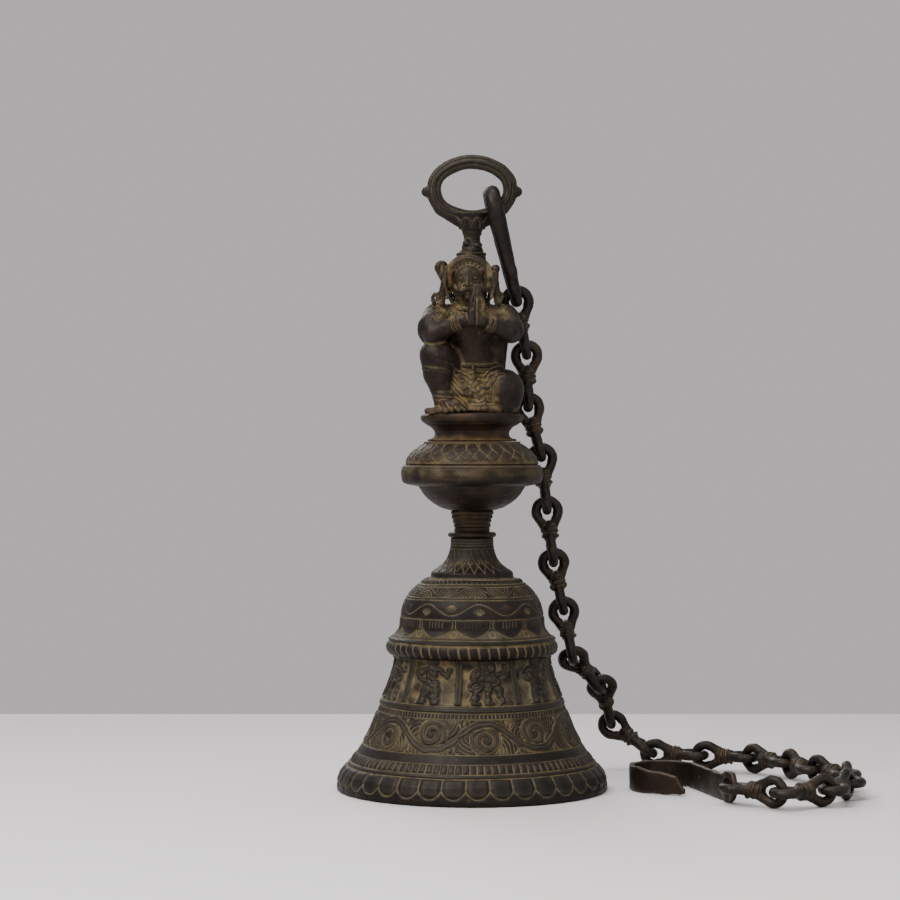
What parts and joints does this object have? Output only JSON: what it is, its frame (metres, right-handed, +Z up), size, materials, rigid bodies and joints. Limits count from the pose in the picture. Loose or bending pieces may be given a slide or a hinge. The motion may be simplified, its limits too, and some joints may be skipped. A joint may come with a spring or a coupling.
{
  "type": "puja bell",
  "caption": "Brass temple bell with a clapper, a ribbed neck and bulb, a kneeling figure finial, a hanging ring, and a chain that ends in a strap hook.",
  "frame": {"origin": "centre of the bell's mouth, in the plane of its rim", "axes": "+Z up along the bell's axis, -Y the way the figure faces, +X the side where the chain hangs and lies"},
  "size_m": [0.2603, 0.1571, 0.3163],
  "materials": {
    "cup_brass": "aged cast brass, dark brown patina with ochre dust in the relief",
    "neck_brass": "aged brass with reddish brown spots",
    "bulb_brass": "aged brass with ochre dust",
    "plate_brass": "dark aged brass",
    "figure_brass": "dark aged brass, worn on the high points",
    "ring_brass": "dark aged brass, worn smooth",
    "shackle_metal": "dark brown aged brass",
    "chain_metal": "dark brown aged brass with ochre dust at the collars",
    "hook_metal": "brown worn strap",
    "clapper_iron": "dark rust brown iron"
  },
  "bodies": {
    "bell": {"bell_cup": "cup_brass", "clapper_eye": "clapper_iron", "neck_stem": "neck_brass", "tie_rod": "clapper_iron", "bulb_lower": "bulb_brass", "bulb_upper": "bulb_brass", "seat_plate": "plate_brass", "figure": "figure_brass", "hanging_ring": "ring_brass"},
    "clapper_link_body": {"clapper_link": "clapper_iron"},
    "clapper": {"clapper_shaft": "clapper_iron", "clapper_ball": "clapper_iron"},
    "shackle_body": {"shackle": "shackle_metal"},
    "link_01_body": {"link_01": "chain_metal"},
    "link_02_body": {"link_02": "chain_metal"},
    "link_03_body": {"link_03": "chain_metal"},
    "link_04_body": {"link_04": "chain_metal"},
    "link_05_body": {"link_05": "chain_metal"},
    "link_06_body": {"link_06": "chain_metal"},
    "link_07_body": {"link_07": "chain_metal"},
    "link_08_body": {"link_08": "chain_metal"},
    "link_09_body": {"link_09": "chain_metal"},
    "link_10_body": {"link_10": "chain_metal"},
    "link_11_body": {"link_11": "chain_metal"},
    "link_12_body": {"link_12": "chain_metal"},
    "link_13_body": {"link_13": "chain_metal"},
    "link_14_body": {"link_14": "chain_metal"},
    "link_15_body": {"link_15": "chain_metal"},
    "link_16_body": {"link_16": "chain_metal"},
    "link_17_body": {"link_17": "chain_metal"},
    "link_18_body": {"link_18": "chain_metal"},
    "link_19_body": {"link_19": "chain_metal"},
    "strap_hook_body": {"strap_hook": "hook_metal"}
  },
  "joints": [
    {"name": "clapper_link_swing", "type": "hinge", "parent": "bell", "child": "clapper_link_body", "pos_m": [0, 0, 0.0868], "axis": [1, 0, 0], "range_deg": [-12, 12]},
    {"name": "clapper_swing", "type": "hinge", "parent": "clapper_link_body", "child": "clapper", "pos_m": [0, 0, 0.0746], "axis": [0, 1, 0], "range_deg": [-36, 36]},
    {"name": "shackle_swing", "type": "hinge", "parent": "bell", "child": "shackle_body", "pos_m": [0.0116, 0, 0.28867], "axis": [0.8766, 0, 0.4812], "range_deg": [0, 14]},
    {"name": "link_01_swing", "type": "hinge", "parent": "shackle_body", "child": "link_01_body", "pos_m": [0.0226, 0.01021, 0.24342], "axis": [0.0353, -0.9888, -0.1449], "range_deg": [0, 18]},
    {"name": "link_02_swing", "type": "hinge", "parent": "link_01_body", "child": "link_02_body", "pos_m": [0.02773, 0.01468, 0.21669], "axis": [0.0467, -0.9781, -0.203], "range_deg": [0, 18]},
    {"name": "link_03_swing", "type": "hinge", "parent": "link_02_body", "child": "link_03_body", "pos_m": [0.02887, 0.02016, 0.1903], "axis": [0.0464, -0.9797, -0.1951], "range_deg": [0, 18]},
    {"name": "link_04_swing", "type": "hinge", "parent": "link_03_body", "child": "link_04_body", "pos_m": [0.03571, 0.02435, 0.16463], "axis": [-0.0062, -1, -0.0007], "range_deg": [0, 18]},
    {"name": "link_05_swing", "type": "hinge", "parent": "link_04_body", "child": "link_05_body", "pos_m": [0.03855, 0.02473, 0.13779], "axis": [0.0004, -0.998, -0.0636], "range_deg": [0, 18]},
    {"name": "link_06_swing", "type": "hinge", "parent": "link_05_body", "child": "link_06_body", "pos_m": [0.04193, 0.02785, 0.11132], "axis": [0.0294, -0.9554, -0.2939], "range_deg": [0, 18]},
    {"name": "link_07_swing", "type": "hinge", "parent": "link_06_body", "child": "link_07_body", "pos_m": [0.04748, 0.03489, 0.08591], "axis": [-0.0014, -0.9884, -0.152], "range_deg": [0, 18]},
    {"name": "link_08_swing", "type": "hinge", "parent": "link_07_body", "child": "link_08_body", "pos_m": [0.05277, 0.04182, 0.06114], "axis": [0.0965, -0.7723, -0.6278], "range_deg": [0, 18]},
    {"name": "link_09_swing", "type": "hinge", "parent": "link_08_body", "child": "link_09_body", "pos_m": [0.0685, 0.05667, 0.04508], "axis": [0.084, -0.7838, -0.6153], "range_deg": [0, 18]},
    {"name": "link_10_swing", "type": "hinge", "parent": "link_09_body", "child": "link_10_body", "pos_m": [0.07502, 0.06992, 0.02367], "axis": [-0.0573, -0.995, -0.0819], "range_deg": [0, 18]},
    {"name": "link_11_swing", "type": "hinge", "parent": "link_10_body", "child": "link_11_body", "pos_m": [0.09214, 0.06992, 0.01168], "axis": [-0.5707, 0.1, -0.815], "range_deg": [0, 12]},
    {"name": "link_12_swing", "type": "hinge", "parent": "link_11_body", "child": "link_12_body", "pos_m": [0.11789, 0.06637, 0.00818], "axis": [0.014, -0.0259, 0.9996], "range_deg": [-4, 14]},
    {"name": "link_13_swing", "type": "hinge", "parent": "link_12_body", "child": "link_13_body", "pos_m": [0.14371, 0.05848, 0.00806], "axis": [-0.006, -0.0198, 0.9998], "range_deg": [-4, 14]},
    {"name": "link_14_swing", "type": "hinge", "parent": "link_13_body", "child": "link_14_body", "pos_m": [0.16178, 0.03841, 0.00801], "axis": [-0.0132, -0.0119, 0.9998], "range_deg": [-4, 14]},
    {"name": "link_15_swing", "type": "hinge", "parent": "link_14_body", "child": "link_15_body", "pos_m": [0.17102, 0.01304, 0.00797], "axis": [-0.0154, -0.0056, 0.9999], "range_deg": [-4, 14]},
    {"name": "link_16_swing", "type": "hinge", "parent": "link_15_body", "child": "link_16_body", "pos_m": [0.18532, -0.00985, 0.00799], "axis": [-0.0136, -0.0085, 0.9999], "range_deg": [-4, 14]},
    {"name": "link_17_swing", "type": "hinge", "parent": "link_16_body", "child": "link_17_body", "pos_m": [0.18297, -0.03675, 0.00794], "axis": [-0.0128, 0.0011, 0.9999], "range_deg": [-4, 14]},
    {"name": "link_18_swing", "type": "hinge", "parent": "link_17_body", "child": "link_18_body", "pos_m": [0.17113, -0.06102, 0.00791], "axis": [-0.0108, 0.0053, 0.9999], "range_deg": [-4, 14]},
    {"name": "link_19_swing", "type": "hinge", "parent": "link_18_body", "child": "link_19_body", "pos_m": [0.14647, -0.072, 0.00787], "axis": [-0.0037, 0.0084, 1], "range_deg": [-4, 8]},
    {"name": "hook_turn", "type": "hinge", "parent": "link_19_body", "child": "strap_hook_body", "pos_m": [0.1231, -0.05002, 0.0082], "axis": [0.9703, 0.2419, 0], "range_deg": [0, 60]}
  ]
}
